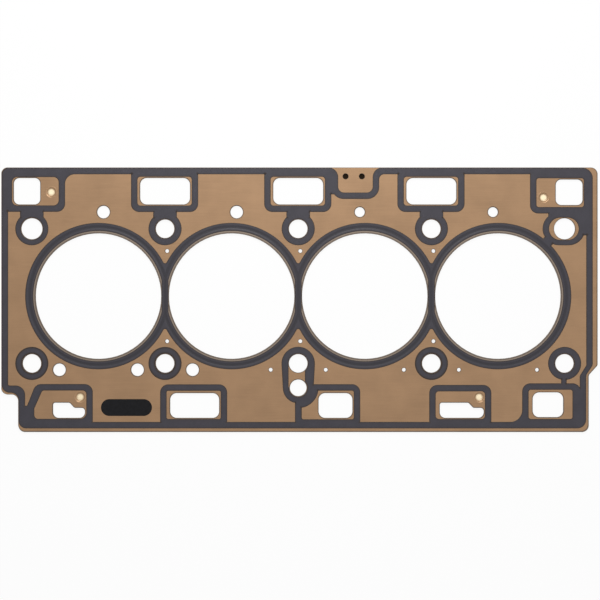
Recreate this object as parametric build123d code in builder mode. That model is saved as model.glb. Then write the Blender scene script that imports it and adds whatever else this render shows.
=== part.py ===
from build123d import *
from math import atan2, degrees, hypot, sqrt
import os

os.makedirs("parts", exist_ok=True)

# Cylinder head gasket for an in-line four: three steel sheets clinched together, with a printed
# elastomer seal on both outer faces. All sizes are in mm. The origin is the middle of the head-bolt
# pattern on the block-side face of the lower sheet, X runs along the cylinders, Z points at the head.

# Cylinders and head bolts
PITCH = 90.0
WEB_W = 5.2
BORE_TO_BOLT_ROW = 3.1
BOLT_R = 6.4
DOWEL_R = 7.1

# Sheets. Each bead's crest touches the carrier and holds the thin sheets off it.
SHEET_T = 0.25
CARRIER_T = 0.7
BEAD_H = 0.2
COAT_T = 0.06

# What the thin sheets leave of the carrier: a ledge inside each opening and along two edges
LEDGE = 0.4
BORE_LEDGE = 0.2
DOWEL_LEDGE = 0.2
EDGE_STEP = 0.6

# Outline, measured outwards from the corner bolts and from the ports
LEFT_REACH, RIGHT_REACH = 20.6, 21.8
FOOT_LEFT_REACH, FOOT_RIGHT_REACH = 9.1, 15.8
UPPER_EDGE_W, LOWER_EDGE_W = 7.1, 9.0
NOTCH_DROP = 20.9
SLANT_TOP_DROP, SLANT_END_DROP = 1.3, 7.9
CORNER_R = 4.5

# Full bead round each bore, a trapezoid in section
BORE_TO_BEAD = 4.2
BEAD_FOOT_W = 3.0
BEAD_CREST_W = 1.0

# Clinch joints: a pit pressed from the head side, whose walls and floor run through all the sheets
CLINCH_MOUTH_R = 3.7
CLINCH_FLOOR_R = 2.3
CLINCH_DEPTH = 1.15
CLINCH_CARRIER_T = 0.4

# Ports: their distance from the bolt rows, and their depth across the gasket
ROW_TO_UPPER_PORTS, UPPER_PORT_DEPTH = 16.5, 17.8
ROW_TO_LOWER_PORTS, LOWER_PORT_DEPTH = 20.1, 16.7
PORT_R = 4.4
SHELF_H, HIGH_SHELF_H = 6.7, 10.2
SLOPE_START, SLOPE_END = 10.3, 7.1

# Water holes, oil hole and vents, measured from the bolts and the bores
WATER_R, SMALL_WATER_R, VENT_R, OIL_R = 4.2, 3.3, 1.4, 5.6
ROW_TO_UPPER_WATER, UPPER_WATER_SHIFT = 11.3, 3.4
ROW_TO_LOWER_WATER, BOLT_TO_LOWER_WATER = 4.3, 18.6
OPEN_LOWER_HOLES = 3
ROW_TO_VENT, VENT_SHIFT = 15.0, 1.4
BOLT_TO_OIL = 16.5

# Thickness code: a bare tab beside the middle upper port, with two blind holes
TAB_W, TAB_DEPTH, TAB_FLARE_R = 23.3, 16.9, 6.5
CODE_HOLE_R, CODE_SPACING, CODE_INSET = 1.95, 11.0, 6.0

# Marking patch, laid between two lower frames
PATCH_GAP, PATCH_W, PATCH_T = 5.5, 11.4, 0.05

# Printed seal
LINE_W = 4.4
EDGE_BARE, RIGHT_BARE, LOWER_BARE = 0.2, 2.8, 1.9
NOTCH_BARE, FOOT_RIGHT_BARE = 1.1, 1.2
BORE_BARE, BORE_PRINT_W, WEB_FILL_R = 1.6, 5.5, 1.3
BOLT_BARE, DOWEL_BARE, BOLT_PRINT_W = 0.2, 0.4, 4.6
NECK_W = 16.0
FRAME_R = 5.5
OVAL_STRETCH = 5.0
SHARP = 0.4

# Places that follow from the sizes above
BORE_R = (PITCH - WEB_W) / 2
BOLT_Y = BORE_R + BORE_TO_BOLT_ROW
BORE_X = [PITCH * (i - 1.5) for i in range(4)]
BOLT_X = [PITCH * (i - 2) for i in range(5)]
WEB_X = BOLT_X[1:-1]
BEAD_R = BORE_R + BORE_TO_BEAD
CARRIER_Z = SHEET_T + BEAD_H
TOP_Z = CARRIER_Z + CARRIER_T + BEAD_H
TOP_FACE_Z = TOP_Z + SHEET_T
UPPER_NEAR = BOLT_Y + ROW_TO_UPPER_PORTS
UPPER_FAR = UPPER_NEAR + UPPER_PORT_DEPTH
LOWER_NEAR = -BOLT_Y - ROW_TO_LOWER_PORTS
LOWER_FAR = LOWER_NEAR - LOWER_PORT_DEPTH
LEFT, RIGHT = BOLT_X[0] - LEFT_REACH, BOLT_X[-1] + RIGHT_REACH
BOTTOM, TOP = LOWER_FAR - LOWER_EDGE_W, UPPER_FAR + UPPER_EDGE_W
FOOT_LEFT, FOOT_RIGHT = BOLT_X[0] - FOOT_LEFT_REACH, BOLT_X[-1] + FOOT_RIGHT_REACH
NOTCH_Y = -BOLT_Y - NOTCH_DROP
SLANT_TOP_Y, SLANT_END_Y = -BOLT_Y - SLANT_TOP_DROP, -BOLT_Y - SLANT_END_DROP
OIL_HOLE = (BOLT_X[2], -BOLT_Y - BOLT_TO_OIL)


class Port:
    """A port from its four sides, and the bare steel between it and the print on each side."""

    def __init__(self, left, right, low, high, radius, bare, bare_r):
        self.sides = (left, right, low, high)
        self.radius = radius
        bare_left, bare_right, bare_low, bare_high = bare
        self.bare_sides = (left - bare_left, right + bare_right, low - bare_low, high + bare_high)
        self.bare_r = bare_r


# Ports, each beside the bolt that it stands by
first, second, middle, fourth, last = BOLT_X
upper_ports = [
    Port(x - 16.8, x + 16.8, UPPER_NEAR, UPPER_FAR, PORT_R, (1.8, 1.2, 0.8, 0.8), 2.0) for x in WEB_X
]
top_left_port = Port(first - 12.2, first + 5.6, UPPER_NEAR, UPPER_FAR, 3.7, (1.1, 12.5, 0.7, 0.6), 3.5)
low, high = UPPER_NEAR - 0.4, UPPER_FAR - 1.0
top_right_port = Port(last - 5.9, last + 12.2, low, high, 3.7, (13.1, 0.7, 1.4, 0.8), 1.6)
lower_port = Port(second + 3.5, second + 36.5, LOWER_FAR, LOWER_NEAR, PORT_R, (2.4, 1.1, 0.7, 1.6), 1.0)
oil_side_port = Port(middle + 13.8, middle + 36.6, LOWER_FAR, LOWER_NEAR, PORT_R, (11.4, 0.9, 0.9, 1.7), 1.2)
low, high = LOWER_FAR + 0.5, LOWER_NEAR + 0.5
right_port = Port(last - 21.5, last - 0.9, low, high, PORT_R, (2.8, 6.2, 1.2, 1.8), 1.5)
left_stepped_port = Port(first + 14.3, first + 35.8, LOWER_FAR, LOWER_NEAR, 3.8, (12.6, 1.0, 0.6, 1.8), 2.4)
stepped_port = Port(fourth + 5.7, fourth + 35.4, LOWER_FAR, LOWER_NEAR, 3.8, (2.8, 0.7, 0.7, 1.2), 2.2)
plain_ports = [*upper_ports, top_left_port, top_right_port, lower_port, oil_side_port, right_port]
stepped_ports = [left_stepped_port, stepped_port]

# Round holes
upper_water = [(x - UPPER_WATER_SHIFT * x / abs(x), BOLT_Y + ROW_TO_UPPER_WATER) for x in BORE_X]
lower_water = [
    (bore + side * (PITCH / 2 - BOLT_TO_LOWER_WATER), -BOLT_Y - ROW_TO_LOWER_WATER)
    for bore in BORE_X
    for side in (-1, 1)
]
vents = [(x + VENT_SHIFT, side * (BOLT_Y - ROW_TO_VENT)) for x in WEB_X for side in (-1, 1)]
bolts = [(x, side * BOLT_Y) for x in BOLT_X for side in (-1, 1)]
dowels = [(first, BOLT_Y), (last, BOLT_Y)]
head_bolts = [place for place in bolts if place not in dowels]
free_bolts = [(x, -BOLT_Y) for x in (first, second, fourth)]

# Clinch joints stand in the bare corners beside four of the ports
clinches = [
    (top_left_port.sides[1] + 7.5, UPPER_NEAR + 8.3),
    (top_right_port.sides[0] - 8.3, UPPER_NEAR + 4.6),
    (left_stepped_port.sides[1] - 3.2, LOWER_NEAR - 2.6),
    (stepped_port.sides[1] - 3.1, LOWER_NEAR - 2.7),
]

# The tab's window in the print, and the code holes in it
TAB_LEFT = upper_ports[1].bare_sides[1] + 2 * LINE_W + 0.2
TAB_RIGHT = TAB_LEFT + TAB_W
TAB_LOW = TOP - TAB_DEPTH
code_holes = [(TAB_LEFT + LINE_W + 0.6 + i * CODE_SPACING, TOP - CODE_INSET) for i in range(2)]


def outline(corners):
    """A face with straight sides, from the x, y and radius of each corner."""
    with BuildSketch() as shape:
        with BuildLine():
            points = [(x, y) for x, y, _ in corners]
            FilletPolyline(points, radius=[r for _, _, r in corners], close=True)
        make_face()
    return shape.sketch


def window(left, right, low, high, radius=SHARP):
    """A rectangle with round corners, from its four sides."""
    return outline([(left, low, radius), (right, low, radius), (right, high, radius), (left, high, radius)])


def frame(left, right, free_y, joined_y, left_r=FRAME_R, right_r=FRAME_R):
    """A printed frame: round corners on the free side, square where it runs into another line."""
    free = [(left, free_y, left_r), (right, free_y, right_r)]
    return outline([*free, (right, joined_y, SHARP), (left, joined_y, SHARP)])


def port_frame(port, joined_y, left_r=FRAME_R, right_r=FRAME_R):
    """The frame printed round a port's bare steel, run into the line at joined_y."""
    left, right, low, high = port.bare_sides
    free_y = low - LINE_W if joined_y > low else high + LINE_W
    return frame(left - LINE_W, right + LINE_W, free_y, joined_y, left_r, right_r)


def corner_fill(x, y, toward_x, toward_y, radius):
    """The print that rounds off an inner corner at x, y."""
    with BuildSketch() as shape:
        with Locations((x + toward_x * radius / 2, y + toward_y * radius / 2)):
            Rectangle(radius, radius)
        with Locations((x + toward_x * radius, y + toward_y * radius)):
            Circle(radius, mode=Mode.SUBTRACT)
    return shape.sketch


def circles(places, radius):
    """Equal round holes or discs."""
    with BuildSketch() as shape:
        with Locations(*places):
            Circle(radius)
    return shape.sketch


def tapered_oval(centre, radius, other_centre, other_radius):
    """The shape of a band laid round two discs."""
    with BuildSketch() as shape:
        with BuildLine():
            CenterArc(centre, radius, 0, 360)
            CenterArc(other_centre, other_radius, 0, 360)
        make_hull()
    return shape.sketch


def stepped_outline(port):
    """A port with a shelf of steel left in one upper corner, where the clinch joint stands."""
    left, right, low, _ = port.sides
    return outline(
        [
            (left, low, port.radius),
            (right, low, port.radius),
            (right, low + SHELF_H, 2.2),
            (right - SLOPE_END, low + SHELF_H, 2.0),
            (right - SLOPE_START, low + HIGH_SHELF_H, 2.0),
            (left, low + HIGH_SHELF_H, 1.5),
        ]
    )


def sheet_outline(step):
    """Outer edge of a sheet. The carrier's right and lower edges stand out by a step."""
    return outline(
        [
            (FOOT_LEFT, BOTTOM - step, CORNER_R),
            (FOOT_RIGHT + step, BOTTOM - step, CORNER_R),
            (FOOT_RIGHT + step, SLANT_END_Y, 3.0),
            (RIGHT + step, SLANT_TOP_Y, 2.0),
            (RIGHT + step, TOP, CORNER_R),
            (LEFT, TOP, CORNER_R),
            (LEFT, NOTCH_Y, CORNER_R),
            (FOOT_LEFT, NOTCH_Y, CORNER_R),
        ]
    )


def openings(ledge, bore_ledge, dowel_ledge):
    """Everything cut through a sheet. The ledges make the thin sheets' openings larger."""
    with BuildSketch() as cuts:
        for port in plain_ports:
            add(window(*port.sides, port.radius))
        for port in stepped_ports:
            add(stepped_outline(port))
        add(circles(upper_water[:2] + lower_water[:OPEN_LOWER_HOLES], WATER_R))
        add(circles(upper_water[2:], SMALL_WATER_R))
        add(circles([OIL_HOLE], OIL_R))
        if ledge:
            offset(amount=ledge)
        add(circles(lower_water[OPEN_LOWER_HOLES:] + vents, VENT_R))
        add(circles(head_bolts, BOLT_R))
        add(circles(dowels, DOWEL_R + dowel_ledge))
        add(circles([(x, 0) for x in BORE_X], BORE_R + bore_ledge))
    return cuts.sketch


def trapezoid(centre, foot_z, height):
    """Section of a bead, as the corners of a closed line."""
    foot, crest = BEAD_FOOT_W / 2, BEAD_CREST_W / 2
    top_z = foot_z + height
    return (centre - foot, foot_z), (centre + foot, foot_z), (centre + crest, top_z), (centre - crest, top_z)


def ring_bead(x, foot_z, height):
    """The bead round one bore, cut off at the middle of the web on each side that has a neighbour."""
    beyond = BEAD_R + BEAD_FOOT_W
    left = PITCH / 2 if x > BORE_X[0] else beyond
    right = PITCH / 2 if x < BORE_X[-1] else beyond
    with BuildPart() as ring:
        with BuildSketch(Plane.XZ):
            with BuildLine():
                Polyline(*trapezoid(BEAD_R, foot_z, height), close=True)
            make_face()
        revolve(axis=Axis.Z)
        with Locations(((right - left) / 2, 0, foot_z)):
            Box(left + right, 2 * beyond, 4 * abs(height), mode=Mode.INTERSECT)
    return Pos(x, 0, 0) * ring.part


def web_bead(x, foot_z, height):
    """The straight bead in the web between two bores, where their ring beads run together."""
    half_length = (BEAD_R**2 - (PITCH / 2) ** 2) ** 0.5
    with BuildPart() as web:
        with BuildSketch(Plane.XZ.offset(-half_length)):
            with BuildLine():
                Polyline(*trapezoid(x, foot_z, height), close=True)
            make_face()
        extrude(amount=2 * half_length)
    return web.part


def bead(foot_z, height):
    """All the beads of one sheet as one solid, standing on foot_z and rising or falling by height."""
    with BuildPart() as beads:
        for x in BORE_X:
            add(ring_bead(x, foot_z, height))
        for x in WEB_X:
            add(web_bead(x, foot_z, height))
    return beads.part


def clinch_surfaces():
    """Mouth radius, mouth height, floor radius and floor height of each surface, from the top down."""
    mouth_r, floor_r = CLINCH_MOUTH_R, CLINCH_FLOOR_R
    floor_z = TOP_FACE_Z - CLINCH_DEPTH
    surfaces = [(mouth_r, TOP_FACE_Z, floor_r, floor_z)]
    for mouth_z, wall in ((TOP_Z, SHEET_T), (CARRIER_Z, CLINCH_CARRIER_T), (0.0, SHEET_T)):
        mouth_r, floor_r, floor_z = mouth_r + wall, floor_r + wall, floor_z - wall
        surfaces.append((mouth_r, mouth_z, floor_r, floor_z))
    return surfaces


def clinch_cup(inner, outer, top_z):
    """One sheet's share of a clinch joint: a cup between the surface above it and the one below."""
    mouth_r, mouth_z, floor_r, floor_z = inner
    rim_r = floor_r + (mouth_r - floor_r) / (mouth_z - floor_z) * (top_z - floor_z)
    out_mouth_r, out_mouth_z, out_floor_r, out_floor_z = outer
    with BuildPart() as cup:
        with BuildSketch(Plane.XZ):
            with BuildLine():
                Polyline(
                    (0, out_floor_z),
                    (out_floor_r, out_floor_z),
                    (out_mouth_r, out_mouth_z),
                    (out_mouth_r, top_z),
                    (rim_r, top_z),
                    (floor_r, floor_z),
                    (0, floor_z),
                    close=True,
                )
            make_face()
        revolve(axis=Axis.Z)
    return cup.part


def edge_line():
    """The printed line along the outer edge, wider where it runs down the foot's left side."""
    left, right, low, high = LEFT + EDGE_BARE, RIGHT - RIGHT_BARE, BOTTOM + LOWER_BARE, TOP - EDGE_BARE
    foot_left, foot_right = FOOT_LEFT + EDGE_BARE, FOOT_RIGHT - FOOT_RIGHT_BARE
    notch_y = NOTCH_Y + NOTCH_BARE
    with BuildSketch() as line:
        add(
            outline(
                [
                    (foot_left, low, 5.0),
                    (foot_right, low, 6.0),
                    (foot_right, SLANT_END_Y, 3.0),
                    (right, SLANT_TOP_Y, 3.5),
                    (right, high, 7.0),
                    (left, high, CORNER_R),
                    (left, notch_y, 5.5),
                    (foot_left, notch_y, 5.5),
                ]
            )
        )
        add(
            outline(
                [
                    (foot_left + LINE_W, low + LINE_W, SHARP),
                    (foot_right - LINE_W, low + LINE_W, SHARP),
                    (foot_right - LINE_W, SLANT_END_Y - 0.5, 3.0),
                    (right - LINE_W, SLANT_TOP_Y, 3.0),
                    (right - LINE_W, high - LINE_W, SHARP),
                    (left + LINE_W, high - LINE_W, SHARP),
                    (left + LINE_W, notch_y + LINE_W + 0.5, 1.0),
                    (foot_left + LINE_W, notch_y + LINE_W + 0.5, 6.5),
                ]
            ),
            mode=Mode.SUBTRACT,
        )
    return line.sketch


def top_right_oval(length, width):
    """The slot-shaped print round the dowel hole in the top right corner."""
    with BuildSketch() as oval:
        with Locations((last - 0.5, BOLT_Y)):
            SlotOverall(length, width)
    return oval.sketch


def bore_bridge(width):
    """The short printed link from the last bore's ring to the oval in the top right corner."""
    across, up = last - BORE_X[-1] - 3.5, BOLT_Y
    reach = hypot(across, up)
    start = (BORE_R + BORE_BARE + BORE_PRINT_W / 2) / reach
    with BuildSketch() as bridge:
        middle_of_link = (BORE_X[-1] + across * (1 + start) / 2, up * (1 + start) / 2, 0)
        with Locations(Location(middle_of_link, (0, 0, degrees(atan2(up, across))))):
            Rectangle(reach * (1 - start), width)
    return bridge.sketch


def web_fill(x, side):
    """The rounded bottom of the notch where two neighbouring rings of print meet over a web."""
    ring_r = BORE_R + BORE_BARE + BORE_PRINT_W
    half_pitch = PITCH / 2
    height = sqrt((ring_r + WEB_FILL_R) ** 2 - half_pitch**2)
    share = ring_r / (ring_r + WEB_FILL_R)
    touch_x, touch_y = half_pitch * (1 - share), height * share
    with BuildSketch() as fill:
        Polygon((x, 0), (x + touch_x, side * touch_y), (x - touch_x, side * touch_y), align=None)
        with Locations((x, side * height)):
            Circle(WEB_FILL_R, mode=Mode.SUBTRACT)
    return fill.sketch


def bore_window(x):
    """What the print leaves bare round a bore: a circle cut straight beside each web."""
    straight = BORE_R + BORE_LEDGE + 0.1
    left = straight if x > BORE_X[0] else BORE_R + BORE_PRINT_W
    right = straight if x < BORE_X[-1] else BORE_R + BORE_PRINT_W
    with BuildSketch() as shape:
        with Locations((x, 0)):
            Circle(BORE_R + BORE_BARE)
        with Locations((x + (right - left) / 2, 0)):
            Rectangle(left + right, 3 * BORE_R, mode=Mode.INTERSECT)
    return shape.sketch


def seal_print():
    """The printed line network, the same on both faces, without the free bolt rings."""
    upper_line = TOP - EDGE_BARE - LINE_W / 2
    lower_line = BOTTOM + LOWER_BARE + LINE_W / 2
    right_line = RIGHT - RIGHT_BARE - LINE_W / 2
    bolt_ring_r = BOLT_R + BOLT_BARE + BOLT_PRINT_W
    field_top, field_bottom = upper_line - LINE_W / 2, lower_line + LINE_W / 2
    with BuildSketch() as seal:
        add(edge_line())
        add(circles([(x, 0) for x in BORE_X], BORE_R + BORE_BARE + BORE_PRINT_W))
        for x in WEB_X:
            add(web_fill(x, 1))
            add(web_fill(x, -1))
        add(circles([place for place in bolts if place not in free_bolts], bolt_ring_r))
        # Upper frames, each with a neck to its bolt ring
        for port, x in zip(upper_ports, WEB_X):
            add(port_frame(port, upper_line))
            add(window(x - NECK_W / 2, x + NECK_W / 2, BOLT_Y + BOLT_R, UPPER_NEAR - LINE_W))
        add(port_frame(top_left_port, upper_line, left_r=SHARP))
        add(corner_fill(top_left_port.bare_sides[1] + LINE_W, field_top, 1, -1, 6.5))
        add(window(first - NECK_W / 2, first + NECK_W / 2, BOLT_Y + DOWEL_R, UPPER_NEAR - LINE_W))
        add(port_frame(top_right_port, upper_line, right_r=SHARP))
        add(window(last - 11.1, right_line, BOLT_Y - 4.5, UPPER_NEAR - LINE_W))
        oval_w = 2 * (DOWEL_R + DOWEL_BARE)
        add(top_right_oval(oval_w + OVAL_STRETCH + 2 * LINE_W, 2 * bolt_ring_r))
        add(bore_bridge(7.5))
        # Thickness tab: the line steps round it, joined to the middle frame
        add(frame(TAB_LEFT - LINE_W, TAB_RIGHT + LINE_W, TAB_LOW - LINE_W, upper_line, 8.0, 8.0))
        add(window(TAB_LEFT - 2 * LINE_W, TAB_LEFT, TAB_LOW - 1.3, upper_line))
        add(corner_fill(TAB_RIGHT + LINE_W, field_top, 1, -1, 3.5))
        # Lower frames
        for port in (lower_port, oil_side_port, stepped_port):
            add(port_frame(port, lower_line))
        left, right, _, high = right_port.bare_sides
        foot_side = FOOT_RIGHT - FOOT_RIGHT_BARE - LINE_W + 1.0
        add(frame(left - LINE_W, foot_side, high + LINE_W, lower_line, FRAME_R, 6.0))
        add(corner_fill(left - LINE_W, field_bottom, -1, 1, 8.0))
        add(window(last - 2.4, last + 1.4, LOWER_NEAR, -BOLT_Y - BOLT_R - BOLT_PRINT_W / 2))
        left, right, _, high = left_stepped_port.bare_sides
        add(
            outline(
                [
                    (left + 0.9, high + LINE_W, FRAME_R),
                    (right + LINE_W, high + LINE_W, FRAME_R),
                    (right + LINE_W, lower_line, SHARP),
                    (FOOT_LEFT + LINE_W / 2, lower_line, SHARP),
                    (FOOT_LEFT + LINE_W / 2, high - 10.2, SHARP),
                    (left - LINE_W - 0.5, high - 10.2, SHARP),
                ]
            )
        )
        # Oval round the middle bolt and the oil hole, with a line down to the outer edge
        oil_ring_r = OIL_R + LINE_W + 0.4
        add(tapered_oval((middle, -BOLT_Y), bolt_ring_r + 0.1, OIL_HOLE, oil_ring_r))
        add(window(middle - LINE_W / 2, middle + LINE_W / 2, lower_line, OIL_HOLE[1] - OIL_R))
    with BuildSketch() as bare:
        for port in (*upper_ports, top_left_port, top_right_port, lower_port, right_port, stepped_port):
            add(window(*port.bare_sides, port.bare_r))
        left, right, low, high = left_stepped_port.bare_sides
        add(
            outline(
                [
                    (left + 5.4, high, 2.0),
                    (right, high, 2.5),
                    (right, low, 4.2),
                    (left, low, 2.5),
                    (left, high - 12.2, 2.0),
                ]
            )
        )
        add(window(TAB_LEFT, TAB_RIGHT, TAB_LOW, TOP + LINE_W, 4.0))
        add(corner_fill(TAB_LEFT, TOP, -1, -1, TAB_FLARE_R))
        add(corner_fill(TAB_RIGHT, TOP, 1, -1, TAB_FLARE_R))
        add(window(middle - OIL_R - 0.9, middle + OIL_R - 1.1, OIL_HOLE[1], -BOLT_Y, 1.0))
        for x in BORE_X:
            add(bore_window(x))
        add(circles(head_bolts, BOLT_R + BOLT_BARE))
        add(circles(dowels[:1], DOWEL_R + DOWEL_BARE))
        add(circles([OIL_HOLE], OIL_R + LEDGE + BOLT_BARE))
        add(top_right_oval(oval_w + OVAL_STRETCH, oval_w))
    # The window beside the oil hole follows a circle round it
    with BuildSketch() as oil_side:
        add(window(*oil_side_port.bare_sides, oil_side_port.bare_r))
        with Locations(OIL_HOLE):
            Circle(OIL_R + 8.1, mode=Mode.SUBTRACT)
    return seal.sketch - bare.sketch - oil_side.sketch


surfaces = clinch_surfaces()
thin_openings = openings(LEDGE, BORE_LEDGE, DOWEL_LEDGE)
print_shape = seal_print()

# Lower sheet: its beads rise to the carrier, and it closes the code holes from below
with BuildPart() as lower_bead_layer:
    with BuildSketch():
        add(sheet_outline(0))
        add(thin_openings, mode=Mode.SUBTRACT)
        add(circles(clinches, surfaces[3][0]), mode=Mode.SUBTRACT)
    extrude(amount=SHEET_T)
    add(bead(SHEET_T, BEAD_H))
    add(bead(0, BEAD_H), mode=Mode.SUBTRACT)
    with Locations(*clinches):
        add(clinch_cup(surfaces[2], surfaces[3], SHEET_T))
lower_bead_layer.part.label = "lower_bead_layer"
export_step(lower_bead_layer.part, "parts/lower_bead_layer.step")

# Carrier: the thick flat sheet in the middle
with BuildPart() as carrier_layer:
    with BuildSketch(Plane.XY.offset(CARRIER_Z)):
        add(sheet_outline(EDGE_STEP))
        add(openings(0, 0, 0), mode=Mode.SUBTRACT)
        add(circles(code_holes, CODE_HOLE_R), mode=Mode.SUBTRACT)
        add(circles(clinches, surfaces[2][0]), mode=Mode.SUBTRACT)
    extrude(amount=CARRIER_T)
    with Locations(*clinches):
        add(clinch_cup(surfaces[1], surfaces[2], CARRIER_Z + CARRIER_T))
carrier_layer.part.label = "carrier_layer"
export_step(carrier_layer.part, "parts/carrier_layer.step")

# Upper sheet: its beads fall to the carrier
with BuildPart() as upper_bead_layer:
    with BuildSketch(Plane.XY.offset(TOP_Z)):
        add(sheet_outline(0))
        add(thin_openings, mode=Mode.SUBTRACT)
        add(circles(code_holes, CODE_HOLE_R), mode=Mode.SUBTRACT)
        add(circles(clinches, surfaces[1][0]), mode=Mode.SUBTRACT)
    extrude(amount=SHEET_T)
    add(bead(TOP_Z, -BEAD_H))
    add(bead(TOP_FACE_Z, -BEAD_H), mode=Mode.SUBTRACT)
    with Locations(*clinches):
        add(clinch_cup(surfaces[0], surfaces[1], TOP_FACE_Z))
upper_bead_layer.part.label = "upper_bead_layer"
export_step(upper_bead_layer.part, "parts/upper_bead_layer.step")

# Head-side print: it lines the beads' hollows as thick as it lies on the flat
with BuildPart() as upper_seal_coating:
    with BuildSketch(Plane.XY.offset(TOP_FACE_Z)):
        add(print_shape)
    extrude(amount=COAT_T)
    add(bead(TOP_FACE_Z, -BEAD_H))
    add(bead(TOP_FACE_Z + COAT_T, -BEAD_H), mode=Mode.SUBTRACT)
upper_seal_coating.part.label = "upper_seal_coating"
export_step(upper_seal_coating.part, "parts/upper_seal_coating.step")

# Block-side print: the same, kept clear of the clinch joints that stand out below
with BuildPart() as lower_seal_coating:
    with BuildSketch(Plane.XY.offset(-COAT_T)):
        add(print_shape)
        add(circles(clinches, surfaces[3][0] + LEDGE), mode=Mode.SUBTRACT)
    extrude(amount=COAT_T)
    add(bead(0, BEAD_H))
    add(bead(-COAT_T, BEAD_H), mode=Mode.SUBTRACT)
lower_seal_coating.part.label = "lower_seal_coating"
export_step(lower_seal_coating.part, "parts/lower_seal_coating.step")

# Printed rings that touch no other line, three on each face
for face, z in (("upper", TOP_FACE_Z), ("lower", -COAT_T)):
    for number, place in enumerate(free_bolts, start=1):
        with BuildPart() as bolt_ring:
            with BuildSketch(Plane.XY.offset(z)):
                with Locations(place):
                    Circle(BOLT_R + BOLT_BARE + BOLT_PRINT_W)
                    Circle(BOLT_R + BOLT_BARE, mode=Mode.SUBTRACT)
            extrude(amount=COAT_T)
        name = f"{face}_bolt_ring_{number}"
        bolt_ring.part.label = name
        export_step(bolt_ring.part, f"parts/{name}.step")

# Marking patch on the upper sheet, midway between two lower frames
with BuildPart() as marking_patch:
    patch_left = left_stepped_port.bare_sides[1] + LINE_W + PATCH_GAP
    patch_right = lower_port.bare_sides[0] - LINE_W - PATCH_GAP
    with BuildSketch(Plane.XY.offset(TOP_FACE_Z)):
        with Locations(((patch_left + patch_right) / 2, LOWER_NEAR - 9.7)):
            SlotOverall(patch_right - patch_left, PATCH_W)
    extrude(amount=PATCH_T)
marking_patch.part.label = "marking_patch"
export_step(marking_patch.part, "parts/marking_patch.step")
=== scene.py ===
import math

import bmesh
import bpy
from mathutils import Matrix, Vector
from mathutils.geometry import delaunay_2d_cdt
from mathutils.kdtree import KDTree


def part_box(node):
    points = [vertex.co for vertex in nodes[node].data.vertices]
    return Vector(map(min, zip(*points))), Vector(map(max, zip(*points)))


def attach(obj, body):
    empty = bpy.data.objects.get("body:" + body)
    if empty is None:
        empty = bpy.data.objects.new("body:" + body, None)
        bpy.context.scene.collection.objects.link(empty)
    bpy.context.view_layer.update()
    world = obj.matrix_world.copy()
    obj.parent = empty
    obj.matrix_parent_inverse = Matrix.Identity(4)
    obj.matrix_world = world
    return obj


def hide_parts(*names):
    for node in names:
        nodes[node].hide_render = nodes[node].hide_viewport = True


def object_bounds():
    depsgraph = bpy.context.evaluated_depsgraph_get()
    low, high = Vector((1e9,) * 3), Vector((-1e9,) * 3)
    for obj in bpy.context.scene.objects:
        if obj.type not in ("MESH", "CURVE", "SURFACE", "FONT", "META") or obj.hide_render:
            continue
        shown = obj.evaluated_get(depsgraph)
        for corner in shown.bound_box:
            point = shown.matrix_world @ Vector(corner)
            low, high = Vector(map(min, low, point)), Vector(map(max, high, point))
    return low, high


bl_info = {
    "name": "Cylinder head gasket",
    "version": (1, 0, 0),
    "blender": (4, 5, 0),
    "location": "View3D > Sidebar > Gasket",
    "description": "Dresses the packed head gasket: coated sheets, printed seal, clinch joints and stage",
    "category": "Object",
}

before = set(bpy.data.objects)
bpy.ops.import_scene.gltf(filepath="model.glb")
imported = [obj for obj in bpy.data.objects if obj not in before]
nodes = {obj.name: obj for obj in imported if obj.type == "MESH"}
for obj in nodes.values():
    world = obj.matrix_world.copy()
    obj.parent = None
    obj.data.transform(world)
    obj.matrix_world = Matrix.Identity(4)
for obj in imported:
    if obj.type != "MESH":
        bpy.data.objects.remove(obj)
cad_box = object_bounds()

MM = 0.001
BODY = "root"

# The upper sheet and print look up, the lower ones down
SIDES = (("upper", 1), ("lower", -1))

# What all colour settings share
SHADE = {"subtype": "COLOR", "size": 3, "min": 0.0, "max": 1.0}

# Heights in the stack, the band of painted shade on the lower sheet's inner face, and the band of rubbed
# buttons
SHEET_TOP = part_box("upper_bead_layer")[1].z
SHEET_THICKNESS = 0.25 * MM
PRINT_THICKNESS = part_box("upper_bolt_ring_1")[1].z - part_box("upper_bolt_ring_1")[0].z
HOLE_SHADE_HEIGHTS = (0.240 * MM, 0.248 * MM)
BUTTON_WEAR = (-0.4 * MM, -0.44 * MM)

# How far a piece may stand outside the solids' box, and the dark edge band, rolled edge and painted shadow of
# the step, above and below its sheet
PROUD = 0.003 * MM
EDGE_PROUD = 0.005 * MM

# A face counts as looking up or down where its normal leans less than about 45 degrees
LEVEL = 0.7

# Bores, the webs between them, and the greyer band round each bore with its dark line of painted shadow
BORE_PITCH = 90.0 * MM
BORES = [Vector((BORE_PITCH * place, 0.0, 0.0)) for place in (-1.5, -0.5, 0.5, 1.5)]
WEBS = [BORE_PITCH * place for place in (-1, 0, 1)]
RIM_SHADOW_LINE_R = 43.1 * MM
RIM_SHADOW_LINE_FADE = (0.08 * MM, 0.16 * MM)
RIM_OUTER_R = 44.1 * MM
RIM_FADE = 0.1 * MM

# Beads: foot and crest are half widths. The rows of points lie at these distances from the middle.
BEAD_R = 46.6 * MM
BEAD_DEPTH = 0.2 * MM
BEAD_FOOT = 1.5 * MM
BEAD_CREST = 0.5 * MM
BEAD_ROWS = [offset * MM for offset in (-1.5, -1.17, -0.83, -0.5, 0.0, 0.5, 0.83, 1.17, 1.5)]

# Half the length of a web's straight bead, which ends where the two bores' beads part
WEB_BEAD_REACH = math.sqrt(BEAD_R**2 - (BORE_PITCH / 2) ** 2)

# The ridge beyond each end of a web's bead, from and to these shares of the bead's reach
RIDGE_SPAN = (1.03, 1.6)

# Step along an arc of no radius. It grows by a tenth of the radius.
ARC_STEP = 0.3 * MM
ARC_GROWTH = 0.1

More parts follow.
